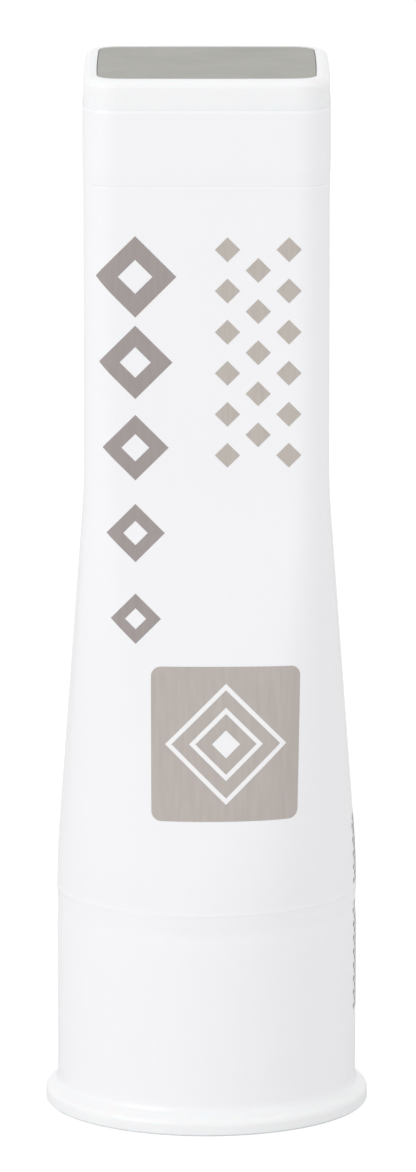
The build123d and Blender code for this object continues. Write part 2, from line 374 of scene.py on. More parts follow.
@dataclass
class StickForm:
    """The outer form over the film: square at the knob, flaring to round at the cap.

    The widths and heights come from the frame, and the rest are the sizes that shape the flare.
    """

    corner_radius: float = 3.2 * MM
    side_crown_radius: float = 400 * MM
    waist_inset: float = 0.08 * MM
    flare_height: float = 40.95 * MM
    blend_share: float = 0.14
    round_power: float = 2.2
    corner_power: float = 1.55
    round_side_angle: float = math.radians(18)
    round_enough_share: float = 1e-6
    knob_half_width: float = field(init=False)
    waist_half_width: float = field(init=False)
    cap_radius: float = field(init=False)
    body_bottom: float = field(init=False)
    body_top: float = field(init=False)
    cap_top: float = field(init=False)
    knob_bottom: float = field(init=False)
    knob_top: float = field(init=False)

    def __post_init__(self) -> None:
        """Reads the widths and the seams' heights from the frame."""
        self.knob_half_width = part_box("film_knob")[1].x
        self.waist_half_width = self.knob_half_width - self.waist_inset
        self.cap_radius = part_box("film_cap")[1].x
        self.body_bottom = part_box("body_shell")[0].z
        self.body_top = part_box("body_shell")[1].z
        self.cap_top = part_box("cap_shell")[1].z
        self.knob_bottom = self.body_top + (self.body_bottom - self.cap_top)
        self.knob_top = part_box("knob")[1].z

    @property
    def cap_seam(self) -> float:
        """Height at which the film is parted between the cap and the body."""
        return (self.cap_top + self.body_bottom) / 2

    @property
    def knob_seam(self) -> float:
        """Height at which the film is parted between the body and the knob."""
        return (self.body_top + self.knob_bottom) / 2

    def _angle(self, half_width: float, side_radius: float, corner: float) -> float:
        """Finds the side's arc that meets the corner's arc without a kink.

        Args:
            half_width: From the axis to the middle of a side.
            side_radius: Radius of the side's crown.
            corner: Radius of the corner.

        Returns:
            Half the angle of the side's arc, in radians.
        """
        if side_radius - corner < self.round_enough_share * side_radius:
            return self.round_side_angle
        share = (side_radius - half_width) / (side_radius - corner)
        return math.acos(share / math.sqrt(2)) - math.pi / 4

    def _widening(self, share: float) -> float:
        """Finds how far the flare has widened.

        Args:
            share: Share of the flare's height, from its top down.

        Returns:
            Share of the whole widening.
        """
        blend = self.blend_share
        if share < blend:
            return share ** 2 / (2 * blend * (1 - blend))
        if share > 1 - blend:
            return 1 - (1 - share) ** 2 / (2 * blend * (1 - blend))
        return (share - blend / 2) / (1 - blend)

    def body(self, height: float, lift: float = 0.0, wobble: float = 0.0) -> Station:
        """The body's or the cap's cross-section at a height.

        Args:
            height: Height above the ground.
            lift: Distance out from the nominal outline.
            wobble: How far the outline may stray from there.

        Returns:
            The cross-section.
        """
        flare_top = self.body_bottom + self.flare_height
        share = min(1.0, max(0.0, (flare_top - height) / self.flare_height))
        half_width = self.waist_half_width + (self.cap_radius - self.waist_half_width) * self._widening(share)
        crown = 1 / self.side_crown_radius
        side_radius = 1 / (crown + (1 / self.cap_radius - crown) * share ** self.round_power)
        corner = self.corner_radius + (self.cap_radius - self.corner_radius) * share ** self.corner_power
        return Station(height, half_width, side_radius, corner,
                       self._angle(half_width, side_radius, corner), lift, wobble)

    def knob(self, height: float, lift: float = 0.0, wobble: float = 0.0) -> Station:
        """The knob's cross-section, with the same arguments as the body's."""
        angle = self._angle(self.knob_half_width, self.side_crown_radius, self.corner_radius)
        return Station(height, self.knob_half_width, self.side_crown_radius, self.corner_radius, angle,
                       lift, wobble)


class MeshTree:
    """A Geometry Nodes tree, and the run that turns a mesh into another with it."""

    def __init__(self, name: str, inputs: dict[str, str], output: str) -> None:
        """Makes the tree with its inputs and its output, and builds what lies between them.

        Args:
            name: Name of the tree.
            inputs: Kinds of the inputs by name.
            output: Name of the geometry that comes out.
        """
        self.tree = bpy.data.node_groups.new(name, "GeometryNodeTree")
        for port, kind in inputs.items():
            self.tree.interface.new_socket(port, in_out="INPUT", socket_type=f"NodeSocket{kind}")
        self.tree.interface.new_socket(output, in_out="OUTPUT", socket_type="NodeSocketGeometry")
        self._build()

    def _build(self) -> None:
        """Fills the tree, in each kind of tree on its own."""
        raise NotImplementedError

    def _sum(self, operation: str, first: Any, second: Any = 0.0) -> bpy.types.NodeSocket:
        """The result of one sum on one or two values or sockets."""
        return output_of(self.tree, "ShaderNodeMath", {0: first, 1: second}, operation=operation)

    def _end(self, shape: bpy.types.NodeSocket, material: bpy.types.NodeSocket) -> None:
        """Ends the tree: what it made becomes real, takes its material and goes out.

        Args:
            shape: The geometry that the tree made.
            material: The material to set.
        """
        real = output_of(self.tree, "GeometryNodeRealizeInstances", {"Geometry": shape})
        painted = output_of(self.tree, "GeometryNodeSetMaterial", {"Geometry": real, "Material": material})
        add_node(self.tree, "NodeGroupOutput", {0: painted})

    def run(self, name: str, mesh: bpy.types.Mesh, values: dict[str, Any]) -> bpy.types.Object:
        """Runs the tree on a mesh and keeps the result as a plain mesh.

        Args:
            name: Name of the new object.
            mesh: The mesh that the tree starts from.
            values: Inputs of the tree by name.

        Returns:
            A new object without modifiers, at the origin.
        """
        source = add_object(f"{name}_source", mesh)
        modifier = source.modifiers.new("tree", "NODES")
        modifier.node_group = self.tree
        for item in self.tree.interface.items_tree:
            if item.item_type == "SOCKET" and item.in_out == "INPUT" and item.name in values:
                modifier[item.identifier] = values[item.name]
        return as_plain_mesh(source, name)


class SkinTree(MeshTree):
    """Geometry Nodes that skin a closed ring of stations, each a soft square, with smooth faces."""

    def __init__(self, side_steps: int = 22, corner_steps: int = 18, wobble_size: float = 7 * MM,
                 wobble_detail: float = 1.0) -> None:
        """Builds the tree.

        Args:
            side_steps: Faces along each side.
            corner_steps: Faces along each corner.
            wobble_size: Size of the patches in which the skin strays in or out.
            wobble_detail: How many finer layers the straying has.
        """
        self.side_steps = side_steps
        self.corner_steps = corner_steps
        self.wobble_size = wobble_size
        self.wobble_detail = wobble_detail
        super().__init__("skin_of_stations", {
            "Stations": "Geometry", "Side Steps": "Int", "Corner Steps": "Int",
            "Merge Distance": "Float", "Wobble Scale": "Float", "Material": "Material"}, "Skin")

    def _build(self) -> None:
        """Lays a grid of stations by outline steps, and moves each point onto its station."""
        tree = self.tree
        plus, minus, times, over, rounded, sine, cosine = (partial(self._sum, operation) for operation in (
            "ADD", "SUBTRACT", "MULTIPLY", "DIVIDE", "ROUND", "SINE", "COSINE"))
        given = add_node(tree, "NodeGroupInput").outputs
        stations, side_steps, corner_steps = given["Stations"], given["Side Steps"], given["Corner Steps"]
        count = output_of(tree, "GeometryNodeAttributeDomainSize", {"Geometry": stations}, component="MESH")
        quarter_steps = plus(side_steps, corner_steps)
        around = times(quarter_steps, QUARTERS)
        half_step = 0.5
        grid = add_node(tree, "GeometryNodeMeshGrid", {
            "Size X": 1.0, "Size Y": 1.0, "Vertices X": plus(count, 1.0),
            "Vertices Y": plus(around, 1.0)}).outputs
        cell = add_node(tree, "ShaderNodeSeparateXYZ", {0: grid["UV Map"]}).outputs
        row = self._sum("MODULO", rounded(times(cell["X"], count)), count)
        column = rounded(times(cell["Y"], around))

        def sampled(value: bpy.types.NodeSocket, kind: str) -> bpy.types.NodeSocket:
            """A value of the station that the row belongs to."""
            return output_of(tree, "GeometryNodeSampleIndex",
                             {"Geometry": stations, "Value": value, "Index": row},
                             data_type=kind, domain="POINT")

        half_width, side_radius, corner_radius, side_angle, lift, wobble = (
            sampled(output_of(tree, "GeometryNodeInputNamedAttribute", {"Name": key}, data_type="FLOAT"),
                    "FLOAT") for key in STATION_KEYS)
        place = sampled(output_of(tree, "GeometryNodeInputPosition"), "FLOAT_VECTOR")
        height = add_node(tree, "ShaderNodeSeparateXYZ", {0: place}).outputs["Z"]

        # Which quarter of the outline a point is in, and whether it is on a side or in a corner
        quarter = self._sum("FLOOR", over(plus(column, half_step), quarter_steps))
        local = minus(column, times(quarter, quarter_steps))
        on_corner = self._sum("GREATER_THAN", local, plus(side_steps, half_step))

        def either(side: bpy.types.NodeSocket, corner: bpy.types.NodeSocket) -> bpy.types.NodeSocket:
            """The first value on a side, and the second in a corner."""
            return output_of(tree, "ShaderNodeMix", {0: on_corner, 2: side, 3: corner}, data_type="FLOAT")

        # The point on its arc, in the first quarter
        side_turn = times(side_angle, minus(times(over(local, side_steps), 2.0), 1.0))
        corner_share = over(minus(local, side_steps), corner_steps)
        corner_sweep = minus(math.pi / 2, times(side_angle, 2.0))
        angle = either(side_turn, plus(side_angle, times(corner_share, corner_sweep)))
        out_x, out_y = cosine(angle), sine(angle)
        corner_centre = times(minus(side_radius, corner_radius), sine(side_angle))
        centre_x = either(minus(half_width, side_radius), corner_centre)
        centre_y = times(corner_centre, on_corner)
        reach = plus(either(side_radius, corner_radius), lift)
        point = output_of(tree, "ShaderNodeCombineXYZ", {
            "X": plus(centre_x, times(reach, out_x)), "Y": plus(centre_y, times(reach, out_y)),
            "Z": height})
        outward = output_of(tree, "ShaderNodeCombineXYZ", {"X": out_x, "Y": out_y})

        # Turned to its own quarter, and strayed in or out
        quarter_turn = times(quarter, math.pi / 2)
        turned, turned_out = (
            output_of(tree, "ShaderNodeVectorRotate", {"Vector": vector, "Angle": quarter_turn},
                      rotation_type="Z_AXIS") for vector in (point, outward))
        unrest = output_of(tree, "ShaderNodeTexNoise", {
            "Vector": turned, "Scale": given["Wobble Scale"], "Detail": self.wobble_detail})
        swing = times(wobble, times(minus(unrest, NOISE_MIDDLE), NOISE_GAIN))
        offset = output_of(tree, "ShaderNodeVectorMath", {0: turned_out, "Scale": swing},
                           operation="SCALE")

        moved = output_of(tree, "GeometryNodeSetPosition", {
            "Geometry": grid["Mesh"], "Position": turned, "Offset": offset})
        closed = output_of(tree, "GeometryNodeMergeByDistance", {
            "Geometry": moved, "Distance": given["Merge Distance"]})
        self._end(output_of(tree, "GeometryNodeSetShadeSmooth", {"Geometry": closed}), given["Material"])

    def skin(self, name: str, stations: Sequence[Station],
             material: bpy.types.Material) -> bpy.types.Object:
        """Skins a closed ring of stations.

        Args:
            name: Name of the piece.
            stations: The cross-sections in order, outside first and back up or down the inside.
            material: Finish of the skin.

        Returns:
            A plain mesh object at the origin.
        """
        spine = bpy.data.meshes.new(f"{name}_stations")
        spine.from_pydata([(0.0, 0.0, s.height) for s in stations], [], [])
        for key in STATION_KEYS:
            values = spine.attributes.new(key, "FLOAT", "POINT")
            values.data.foreach_set("value", [getattr(s, key) for s in stations])
        return self.run(name, spine, {
            "Side Steps": self.side_steps, "Corner Steps": self.corner_steps,
            "Merge Distance": JOIN_DISTANCE, "Wobble Scale": 1 / self.wobble_size, "Material": material})


@dataclass
class Film:
    """The shrunk sleeve, parted at the two seams: its thickness, edges, ridges and groove."""

    form: StickForm
    skin: SkinTree
    thickness: float = 0.08 * MM
    edge_round: float = 0.003 * MM
    edge_gap: float = 0.0005 * MM
    row_step: float = 1.1 * MM
    fine_step: float = 0.09 * MM
    fine_reach: float = 2.8 * MM
    fine_reach_share: float = 1 / 3
    cap_ridge: float = 0.05 * MM
    cap_ridge_width: float = 0.28 * MM
    cap_step: float = 0.012 * MM
    knob_ridge: float = 0.06 * MM
    knob_ridge_rise: float = 0.1 * MM
    knob_ridge_width: float = 0.55 * MM
    knob_tuck_width: float = 0.9 * MM
    groove_depth: float = 0.06 * MM
    groove_drop: float = 1.8 * MM
    groove_width: float = 0.9 * MM
    unrest_share: float = 0.7
    groove_unrest_share: float = 0.45
    foot_edge: float = 1.9 * MM
    top_margin: float = 2.75 * MM
    foot_thin_height: float = 0.9 * MM
    foot_thin_share: float = 0.06
    foot_sink: float = 0.02 * MM
    foot_sink_reach: float = 0.22 * MM
    top_thin_height: float = 0.27 * MM
    top_thin_share: float = 0.5
    flange_thickness: float = 1.6 * MM
    flange_edge_radius: float = 0.65 * MM
    flange_root_radius: float = 1.4 * MM
    flange_reach: float = 1.1 * MM
    film_gap: float = 0.02 * MM

    @property
    def knob_edge(self) -> float:
        """Height of the sleeve's upper edge on the knob."""
        return self.form.knob_top - self.top_margin

    @staticmethod
    def _bell(distance: float, width: float) -> float:
        """A smooth bump that is one at no distance and fades over a width."""
        return math.exp(-((distance / width) ** 2))

    def _ledge(self, drop: float) -> float:
        """Share of the ridge at a depth under the knob's seam: steep above, and fading out below."""
        return (1 - math.exp(-drop / self.knob_ridge_rise)) * math.exp(-drop / self.knob_ridge_width)

    def body_lift(self, height: float) -> float:
        """How far the body's film stands out from the nominal form at a height: a ridge at each seam."""
        return (self.cap_ridge * self._bell(height - self.form.cap_seam, self.cap_ridge_width)
                + self.knob_ridge * self._ledge(max(0.0, self.form.knob_seam - height)))

    def knob_lift(self, height: float) -> float:
        """How far the knob's film stands out at a height: drawn in at the seam and at its thin upper edge.

        Args:
            height: Height above the ground.

        Returns:
            Distance out from the nominal form.
        """
        tuck = self.form.knob_half_width - self.form.waist_half_width
        thinned = (self.thickness + self.film_gap) * (1 - self.film_share(height))
        return -tuck * self._bell(height - self.form.knob_seam, self.knob_tuck_width) - thinned

    def _foot_flare(self, height: float, depth: float) -> float:
        """How far the film is spread at its foot, where it lies in the flange's root.

        Args:
            height: Height above the ground.
            depth: How far the film stands off the flange.

        Returns:
            Distance out from the cap's wall.
        """
        shell_radius = self.form.cap_radius - self.thickness - self.film_gap
        edge_radius, root_radius = self.flange_edge_radius, self.flange_root_radius
        root_centre = shell_radius + root_radius
        reach = root_centre - (self.form.cap_radius + self.flange_reach - edge_radius)
        rise = math.sqrt((edge_radius + root_radius) ** 2 - reach ** 2)
        drop = max(0.0, self.flange_thickness - edge_radius + rise - height)
        return root_centre - math.sqrt((root_radius - depth) ** 2 - drop ** 2) - shell_radius - depth

    @staticmethod
    def _thinned(distance: float, reach: float, least: float) -> float:
        """Share of the thickness left at a distance from an edge, as it thins smoothly over a reach."""
        rise = min(1.0, max(0.0, distance / reach))
        return least + (1 - least) * rise * rise * (3 - 2 * rise)

    def film_share(self, height: float) -> float:
        """Share of its thickness that the film has left at a height, as it thins towards its two ends."""
        return min(self._thinned(height - self.foot_edge, self.foot_thin_height, self.foot_thin_share),
                   self._thinned(self.knob_edge - height, self.top_thin_height, self.top_thin_share))

    def cap_lift(self, height: float) -> float:
        """How far the cap's film stands out at a height: a dip under the seam, and a spread, pressed foot.

        Args:
            height: Height above the ground.

        Returns:
            Distance out from the nominal form.
        """
        full = self.thickness + self.film_gap
        depth = full * self.film_share(height)
        drop = self.form.cap_seam - height
        sink = self.foot_sink * self._bell(height - self.foot_edge, self.foot_sink_reach)
        return (self._foot_flare(height, depth) + depth - full - sink
                + (self.cap_ridge - self.cap_step) * self._bell(drop, self.cap_ridge_width)
                - self.groove_depth * self._bell(drop - self.groove_drop, self.groove_width))

    def unrest(self, height: float) -> float:
        """How far the film may stray at a height: only beside the seams.

        Args:
            height: Height above the ground.

        Returns:
            The largest distance in or out.
        """
        drop = max(0.0, self.form.knob_seam - height)
        under_cap = self.form.cap_seam - height
        at_cap = self._bell(under_cap, self.cap_ridge_width)
        in_groove = self._bell(under_cap - self.groove_drop, self.groove_width) if under_cap > 0 else 0.0
        return max(self.unrest_share * self.knob_ridge * self._ledge(drop),
                   self.unrest_share * self.cap_ridge * at_cap,
                   self.groove_unrest_share * self.groove_depth * in_groove)

    def heights(self, bottom: float, top: float) -> list[float]:
        """Heights of the rows between two edges, close together near both.

        Args:
            bottom: Lower edge.
            top: Upper edge.

        Returns:
            Heights from the bottom to the top.
        """
        reach = min(self.fine_reach, (top - bottom) * self.fine_reach_share)
        fine = [self.fine_step * i for i in range(int(reach / self.fine_step) + 1)]
        inner_low, inner_high = bottom + fine[-1], top - fine[-1]
        steps = max(1, round((inner_high - inner_low) / self.row_step))
        middle = [inner_low + (inner_high - inner_low) * i / steps for i in range(1, steps)]
        return [bottom + f for f in fine] + middle + [top - f for f in reversed(fine)]

    def sleeve(self, name: str, bottom: float, top: float, section: Callable[..., Station],
               lift: Callable[[float], float], material: bpy.types.Material) -> bpy.types.Object:
        """Builds a sleeve of film between two heights, with rounded edges.

        Args:
            name: Name of the piece.
            bottom: Lower edge.
            top: Upper edge.
            section: Gives the cross-section at a height, lift and wobble.
            lift: How far the film stands out at a height.
            material: Finish of the film.

        Returns:
            The sleeve as a closed mesh.
        """
        def station(height: float, place: float, depth: float = 0.0) -> Station:
            """The film's cross-section at a height, its place for the lift, and a depth under its face."""
            return section(height, lift(place) - depth * self.film_share(place), self.unrest(place))

        low, high = bottom + self.edge_round, top - self.edge_round
        rows = self.heights(low, high)
        outside = [station(z, z) for z in rows]
        inside = [station(z, z, self.thickness) for z in reversed(rows)]
        top_edge = [station(top, high, self.edge_round), station(top, high, self.thickness - self.edge_round)]
        bottom_edge = [station(bottom, low, self.thickness - self.edge_round),
                       station(bottom, low, self.edge_round)]
        piece = self.skin.skin(name, outside + top_edge + inside + bottom_edge, material)
        faces_out(piece)
        return piece


@dataclass
class FilmSleeves:
    """The three films on the stick."""

    film: Film
    finishes: Finishes

    def build(self) -> list[bpy.types.Object]:
        """Builds the films and puts each on its body.

        Returns:
            The three films.
        """
        form, film, gap = self.film.form, self.film, self.film.edge_gap
        films = []
        for name, rides_on, node, section, lift, bottom, top in (
            ("body_film", Body.BODY, "film_body", form.body, film.body_lift, form.cap_seam + gap,
             form.knob_seam - gap),
            ("knob_film", Body.KNOB, "film_knob", form.knob, film.knob_lift, form.knob_seam + gap,
             film.knob_edge),
            ("cap_film", Body.CAP, "film_cap", form.body, film.cap_lift, film.foot_edge,
             form.cap_seam - gap),
        ):
            piece = film.sleeve(name, bottom, top, section, lift, self.finishes.film)
            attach(piece, rides_on.value)
            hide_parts(node)
            films.append(piece)
        return films


class MarkTree(MeshTree):
    """Geometry Nodes that repeat a flat mark up a column, growing or shrinking evenly."""

    def __init__(self) -> None:
        """Builds the tree."""
        super().__init__("column_of_marks", {
            "Mark": "Geometry", "Count": "Int", "Pitch": "Float", "Last Size Share": "Float",
            "Material": "Material"}, "Marks")

    def _build(self) -> None:
        """Puts copies of the mark on a line of points, each scaled by its place in the column."""
        tree = self.tree
        given = add_node(tree, "NodeGroupInput").outputs
        step = output_of(tree, "ShaderNodeCombineXYZ", {"Y": given["Pitch"]})
        line = output_of(tree, "GeometryNodeMeshLine", {"Count": given["Count"], "Offset": step},
                         mode="OFFSET")
        index = output_of(tree, "GeometryNodeInputIndex")
        share = self._sum("DIVIDE", index, self._sum("SUBTRACT", given["Count"], 1.0))
        scale = output_of(tree, "ShaderNodeMapRange", {
            "Value": share, "To Min": 1.0, "To Max": given["Last Size Share"]}, clamp=False)
        sizes = output_of(tree, "ShaderNodeCombineXYZ", {"X": scale, "Y": scale, "Z": 1.0})
        marks = output_of(tree, "GeometryNodeInstanceOnPoints", {
            "Points": line, "Instance": given["Mark"], "Scale": sizes})
        self._end(marks, given["Material"])


@dataclass
class Print:
    """Wraps flat shapes round the film as thin slabs, of ink or of film, which follow its surface."""

    film: Film
    ink_depth: float = 0.02 * MM
    ink_proud: float = 0.012 * MM
    arc_cut: float = 0.4 * MM
    height_cut: float = 1.2 * MM
    rim_angle: float = math.radians(40)

    def cut(self, work: bmesh.types.BMesh) -> None:
        """Cuts flat shapes into cells that are small enough to bend round the stick.

        Args:
            work: Flat shapes, with arc length along X and height along Y.
        """
        for axis, step in ((0, self.arc_cut), (1, self.height_cut)):
            places = [v.co[axis] for v in work.verts]
            normal = Vector((1, 0, 0)) if axis == 0 else Vector((0, 1, 0))
            for i in range(math.ceil(min(places) / step), math.floor(max(places) / step) + 1):
                everything = work.verts[:] + work.edges[:] + work.faces[:]
                bmesh.ops.bisect_plane(work, geom=everything, plane_co=normal * (i * step), plane_no=normal,
                                       dist=JOIN_DISTANCE)

    def wrap(self, name: str, flat: bmesh.types.BMesh, section: Callable[..., Station],
             lift: Callable[[float], float], material: bpy.types.Material,
             quarters: int = 0) -> bpy.types.Object:
        """Bends flat shapes onto the film and gives them their thickness.

        Args:
            name: Name of the piece.
            flat: Flat shapes, with arc length along X and height along Y. They are freed here.
            section: Gives the cross-section at a height and lift.
            lift: How far the film stands out at a height.
            material: The ink, or the film's finish.
            quarters: Quarter turns from the front to the side that the arc length starts from.

        Returns:
            The slabs as one piece.
        """
        self.cut(flat)
        for vertex in flat.verts:
            arc, height = vertex.co.x, vertex.co.y
            station = section(height, lift(height))
            vertex.co = station.point(arc + quarters * station.quarter_length, self.ink_proud)
        bmesh.ops.recalc_face_normals(flat, faces=flat.faces)
        for face in flat.faces:
            middle = face.calc_center_median()
            if face.normal.dot(Vector((middle.x, middle.y, 0))) < 0:
                face.normal_flip()
        mesh = bpy.data.meshes.new(name)
        flat.to_mesh(mesh)
        flat.free()
        source = add_object(f"{name}_source", mesh)
        # The slab grows inwards from its face, so that it stays sunk in the film
        slab = source.modifiers.new("ink", "SOLIDIFY")
        slab.thickness = self.ink_depth
        slab.offset = -1.0
        slab.use_even_offset = False
        piece = as_plain_mesh(source, name)
        piece.data.materials.clear()
        piece.data.materials.append(material)
        piece.data.shade_smooth()
        piece.data.set_sharp_from_angle(angle=self.rim_angle)
        return piece


def filled(loops: Sequence[Loop]) -> bmesh.types.BMesh:
    """Fills flat outlines, with holes where one lies inside another.

    Args:
        loops: Closed outlines of points.

    Returns:
        A flat mesh.
    """
    work = bmesh.new()
    for loop in loops:
        corners = [work.verts.new((x, y, 0.0)) for x, y in loop]
        for first, second in zip(corners, corners[1:] + corners[:1]):
            work.edges.new((first, second))
    bmesh.ops.triangle_fill(work, use_beauty=True, use_dissolve=False, edges=work.edges[:])
    return work


def rounded_box(centre: tuple[float, float], half: tuple[float, float], corner: float,
                steps: int = 8) -> Loop:
    """A rectangle with round corners.

    Args:
        centre: Middle of the rectangle.
        half: Half its width and half its height.
        corner: Radius of its corners.
        steps: Chords in each corner.

    Returns:
        The outline.
    """
    loop: Loop = []
    for quarter, (side_x, side_y) in enumerate(CORNER_SIGNS):
        for step in range(steps + 1):
            angle = math.pi / 2 * (quarter + step / steps)
            loop.append((centre[0] + side_x * (half[0] - corner) + corner * math.cos(angle),
                         centre[1] + side_y * (half[1] - corner) + corner * math.sin(angle)))
    return loop


def lozenge(centre: tuple[float, float], half: float) -> Loop:
    """A square that stands on its corner, round a middle and with half its width given."""
    x, y = centre
    return [(x + half, y), (x, y + half), (x - half, y), (x, y - half)]


@dataclass
class SleeveOverlap:
    """The bonded overlap up the back of the sleeve: one more layer, with a fine edge each side."""

    layer: Print
    finishes: Finishes
    half_width: float = 1.9 * MM
    end_margin: float = 0.06 * MM

    def build(self) -> list[bpy.types.Object]:
        """Builds the overlap on the cap, the body and the knob.

        Returns:
            The three strips.
        """
        film, form = self.layer.film, self.layer.film.form
        strips = []
        for name, body, section, lift, bottom, top in (
            ("overlap_on_cap", Body.CAP, form.body, film.cap_lift, film.foot_edge + film.foot_thin_height,
             form.cap_seam),
            ("overlap_on_body", Body.BODY, form.body, film.body_lift, form.cap_seam, form.knob_seam),
            ("overlap_on_knob", Body.KNOB, form.knob, film.knob_lift, form.knob_seam, film.knob_edge),
        ):
            low, high = bottom + self.end_margin, top - self.end_margin
            flat = filled([[(x * self.half_width, (low + high) / 2 + y * ((high - low) / 2))
                            for x, y in CORNER_SIGNS]])
            strip = self.layer.wrap(name, flat, section, lift, self.finishes.film, quarters=2)
            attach(strip, body.value)
            strips.append(strip)
        return strips


@dataclass
class PrintedDesign:
    """The plain geometric print: a column of lozenges, a lattice of small ones, a panel, a trellis."""

    ink_on: Print
    finishes: Finishes
    marks: MarkTree = field(default_factory=MarkTree)

    column_arc: float = -6.5 * MM
    column_top: float = 79.7 * MM
    column_pitch: float = 7.9 * MM
    column_size: float = 3.75 * MM
    column_hole_share: float = 0.42
    column_count: int = 5
    column_last_share: float = 0.62

    small_arcs: tuple[float, ...] = (1.9 * MM, 4.7 * MM, 7.5 * MM)
    small_tops: tuple[float, ...] = (82.2 * MM, 80.3 * MM, 82.2 * MM)
    small_counts: tuple[int, ...] = (6, 5, 6)
    small_size: float = 1.15 * MM
    small_pitch: float = 3.8 * MM

    panel_centre: tuple[float, float] = (1.78 * MM, 36.55 * MM)
    panel_half: tuple[float, float] = (6.88 * MM, 7.16 * MM)
    panel_corner: float = 0.9 * MM
    panel_rings: tuple[float, ...] = (5.6 * MM, 5.0 * MM, 3.4 * MM, 2.8 * MM, 1.3 * MM)

    trellis_arc: float = 21.95 * MM
    trellis_bottoms: tuple[float, float] = (9.3 * MM, 21.3 * MM)
    trellis_counts: tuple[int, int] = (8, 5)
    trellis_across: int = 6
    trellis_step: float = 1.0 * MM
    trellis_pitch: float = 1.3 * MM
    trellis_size: float = 0.34 * MM

    def _column(self, name: str, place: tuple[float, float], loops: Sequence[Loop], ink: Ink,
                lift: Callable[[float], float], values: dict[str, Any]) -> bpy.types.Object:
        """Prints a column of one repeated mark.

        Args:
            name: Name of the piece.
            place: Arc length of the column's middle, and height of its first mark.
            loops: Outlines of the mark, drawn round its middle.
            ink: Colour of the marks.
            lift: How far the film stands out at a height.
            values: Inputs of the tree that repeats the mark.

        Returns:
            The printed column.
        """
        mark = bpy.data.meshes.new("mark")
        shape = filled(loops)
        shape.to_mesh(mark)
        shape.free()
        material = self.finishes.inks[ink]
        marks = self.marks.run("marks", mark, {"Last Size Share": 1.0, "Material": material, **values})
        flat = bmesh.new()
        flat.from_mesh(marks.data)
        bmesh.ops.translate(flat, verts=flat.verts, vec=Vector((*place, 0)))
        bpy.data.objects.remove(marks)
        return self.ink_on.wrap(name, flat, self.ink_on.film.form.body, lift, material)

    def _lozenges(self) -> bpy.types.Object:
        """Prints the column of large lozenges, each with a bare middle, which shrink downwards."""
        loops = [lozenge((0.0, 0.0), self.column_size * share) for share in (1.0, self.column_hole_share)]
        return self._column("print_lozenges", (self.column_arc, self.column_top), loops, Ink.DARK,
                            self.ink_on.film.body_lift, {
                                "Count": self.column_count, "Pitch": -self.column_pitch,
                                "Last Size Share": self.column_last_share})

    def _small_lozenges(self, number: int) -> bpy.types.Object:
        """Prints one upright row of the lattice of small lozenges, counted from the left."""
        place = (self.small_arcs[number], self.small_tops[number])
        return self._column(f"print_small_lozenges_{number + 1}", place,
                            [lozenge((0.0, 0.0), self.small_size)], Ink.TAUPE,
                            self.ink_on.film.body_lift, {
                                "Count": self.small_counts[number], "Pitch": -self.small_pitch})

    def _panel(self) -> bpy.types.Object:
        """Prints the panel, with squares that stand on their corners left bare in it.

        Returns:
            The printed panel.
        """
        film = self.ink_on.film
        loops = [rounded_box(self.panel_centre, self.panel_half, self.panel_corner)]
        loops += [lozenge(self.panel_centre, half) for half in self.panel_rings]
        return self.ink_on.wrap("print_panel", filled(loops), film.form.body, film.body_lift,
                                self.finishes.inks[Ink.PANEL])

    def _trellis(self, name: str, number: int, lift: Callable[[float], float]) -> bpy.types.Object:
        """Prints a trellis of tiny lozenges on the stick's right side, in staggered rows.

        Args:
            name: Name of the piece.
            number: Which part of the trellis, counted from the ground.
            lift: How far the film stands out at a height.

        Returns:
            The printed trellis.
        """
        loops = []
        for row, count in enumerate((self.trellis_across, self.trellis_across - 1)):
            first = -self.trellis_step * (count - 1) / 2
            height = self.trellis_pitch * row / 2
            loops += [lozenge((first + self.trellis_step * i, height), self.trellis_size)
                      for i in range(count)]
        return self._column(name, (self.trellis_arc, self.trellis_bottoms[number]), loops, Ink.SMALL,
                            lift, {"Count": self.trellis_counts[number], "Pitch": self.trellis_pitch})

    def build(self) -> list[bpy.types.Object]:
        """Builds the print and puts it on the bodies that carry the film.

        Returns:
            The printed pieces.
        """
        film = self.ink_on.film
        on_body = [self._lozenges(), self._panel(),
                   self._trellis("print_side_trellis", 1, film.body_lift)]
        on_body += [self._small_lozenges(number) for number in range(len(self.small_arcs))]
        on_cap = [self._trellis("print_cap_trellis", 0, film.cap_lift)]
        for piece in on_body:
            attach(piece, Body.BODY.value)
        for piece in on_cap:
            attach(piece, Body.CAP.value)
        return on_body + on_cap


class Mouldings:
    """The rigid nodes of the frame, dressed in their finishes."""

    def __init__(self, nodes: dict[str, bpy.types.Object], finishes: Finishes) -> None:
        """Pairs each node with its finish.

        Args:
            nodes: The frame's nodes by name.
            finishes: The finishes.
        """
        self.nodes = nodes
        self.finish_of = {
            "cap_shell": finishes.moulded_white,
            "body_shell": finishes.moulded_white,
            "knob": finishes.moulded_white,
            "barrel": finishes.natural,
            "spindle": finishes.screw,
            "carrier": finishes.screw,
            "knob_plate": finishes.plate,
            "glue_block": finishes.glue,
        }

    def dress(self) -> None:
        """Gives each node its finish and reports it."""
        for name, material in self.finish_of.items():
            mesh = self.nodes[name].data
            mesh.materials.clear()
            mesh.materials.append(material)
            log.info("node %s: %s", name, material.name)


@dataclass(frozen=True)
class Lamp:
    """A soft rectangular lamp that looks at the middle of the stick, and may stay out of reflections."""

    name: str
    place: tuple[float, float, float]
    size: tuple[float, float]
    power: float
    mirrored: bool = True


